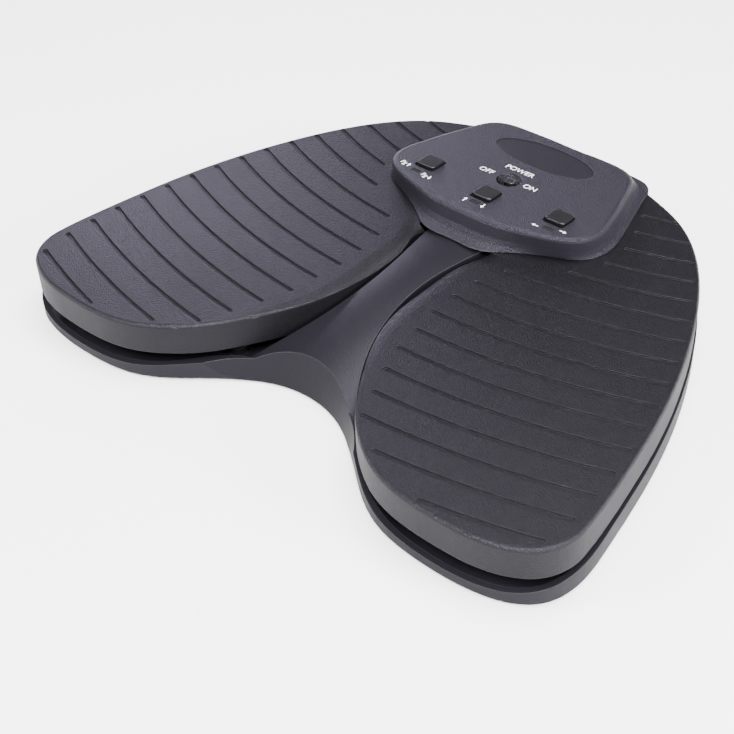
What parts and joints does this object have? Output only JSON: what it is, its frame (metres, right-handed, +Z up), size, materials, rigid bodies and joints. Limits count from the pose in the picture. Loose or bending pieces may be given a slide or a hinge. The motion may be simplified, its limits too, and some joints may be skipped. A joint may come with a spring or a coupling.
{
  "type": "page turner pedal",
  "caption": "Low wireless foot switch with two wing-shaped sprung pedals beside a narrow bridge and a small control console over their hinges.",
  "frame": {"origin": "on the floor plane under the centre of the bounding box", "axes": "+X to the right pedal, +Y to the rear where the console is, +Z up"},
  "size_m": [0.2968, 0.2314, 0.0422],
  "materials": {
    "tray_plastic": "fine satin grain",
    "pedal_plastic": "fine grained moulding",
    "console_plastic": "satin grained moulding",
    "button_plastic": "smooth satin",
    "switch_body": "moulded",
    "lamp_lens": "clear resin",
    "window_plastic": "smoked",
    "knob_plastic": "smooth",
    "circuit_board": "solder mask",
    "screw_steel": "zinc plated",
    "badge_plastic": "bare moulded plate",
    "rod_steel": "ground",
    "spring_steel": "drawn wire",
    "soft_rubber": "soft",
    "magnet_nickel": "nickel plated",
    "lead_jacket": "flexible jacket",
    "cell_wrap": "plain printed sleeve, no name",
    "contact_steel": "nickel plated",
    "foot_rubber": "matt",
    "inlet_steel": "plated"
  },
  "bodies": {
    "base": {"base_tray": "tray_plastic", "console_cover": "console_plastic", "tact_switches": "switch_body", "lamps": "lamp_lens", "lamp_windows": "window_plastic", "power_switch": "switch_body", "main_board": "circuit_board", "board_screws": "screw_steel", "case_screws": "screw_steel", "badge_plate": "badge_plastic", "hinge_rod": "rod_steel", "left_spring": "spring_steel", "right_spring": "spring_steel", "pedal_stops": "soft_rubber", "left_sensor_board": "circuit_board", "right_sensor_board": "circuit_board", "left_sensor_lead": "lead_jacket", "right_sensor_lead": "lead_jacket", "battery_cells": "cell_wrap", "cell_contacts": "contact_steel", "rubber_feet": "foot_rubber", "inlet_board": "circuit_board", "usb_inlet": "inlet_steel"},
    "left_pedal": {"left_pedal": "pedal_plastic", "left_magnet": "magnet_nickel"},
    "right_pedal": {"right_pedal": "pedal_plastic", "right_magnet": "magnet_nickel"},
    "button_left": {"mode_button_left": "button_plastic"},
    "button_centre": {"mode_button_centre": "button_plastic"},
    "button_right": {"mode_button_right": "button_plastic"},
    "power_knob": {"power_knob": "knob_plastic"},
    "battery_door": {"battery_door": "tray_plastic"}
  },
  "joints": [
    {"name": "left_pedal_press", "type": "hinge", "parent": "base", "child": "left_pedal", "pos_m": [0, 0.103, 0.02], "axis": [1, 0, 0], "range_deg": [0, 1], "stiffness_Nm_per_rad": 14, "springref_deg": -1.72, "deforming": ["left_spring"]},
    {"name": "right_pedal_press", "type": "hinge", "parent": "base", "child": "right_pedal", "pos_m": [0, 0.103, 0.02], "axis": [1, 0, 0], "range_deg": [0, 1], "stiffness_Nm_per_rad": 14, "springref_deg": -1.72, "deforming": ["right_spring"]},
    {"name": "left_button_press", "type": "slide", "parent": "base", "child": "button_left", "axis": [0, -0.0634, -0.998], "range_m": [0, 0.0005], "stiffness_N_per_m": 900, "springref_m": -0.0008},
    {"name": "centre_button_press", "type": "slide", "parent": "base", "child": "button_centre", "axis": [0, -0.0634, -0.998], "range_m": [0, 0.0005], "stiffness_N_per_m": 900, "springref_m": -0.0008},
    {"name": "right_button_press", "type": "slide", "parent": "base", "child": "button_right", "axis": [0, -0.0634, -0.998], "range_m": [0, 0.0005], "stiffness_N_per_m": 900, "springref_m": -0.0008},
    {"name": "power_knob_slide", "type": "slide", "parent": "base", "child": "power_knob", "axis": [1, 0, 0], "range_m": [-0.0024, 0]},
    {"name": "battery_door_slide", "type": "slide", "parent": "base", "child": "battery_door", "axis": [1, 0, 0], "range_m": [0, 0.0075]}
  ]
}
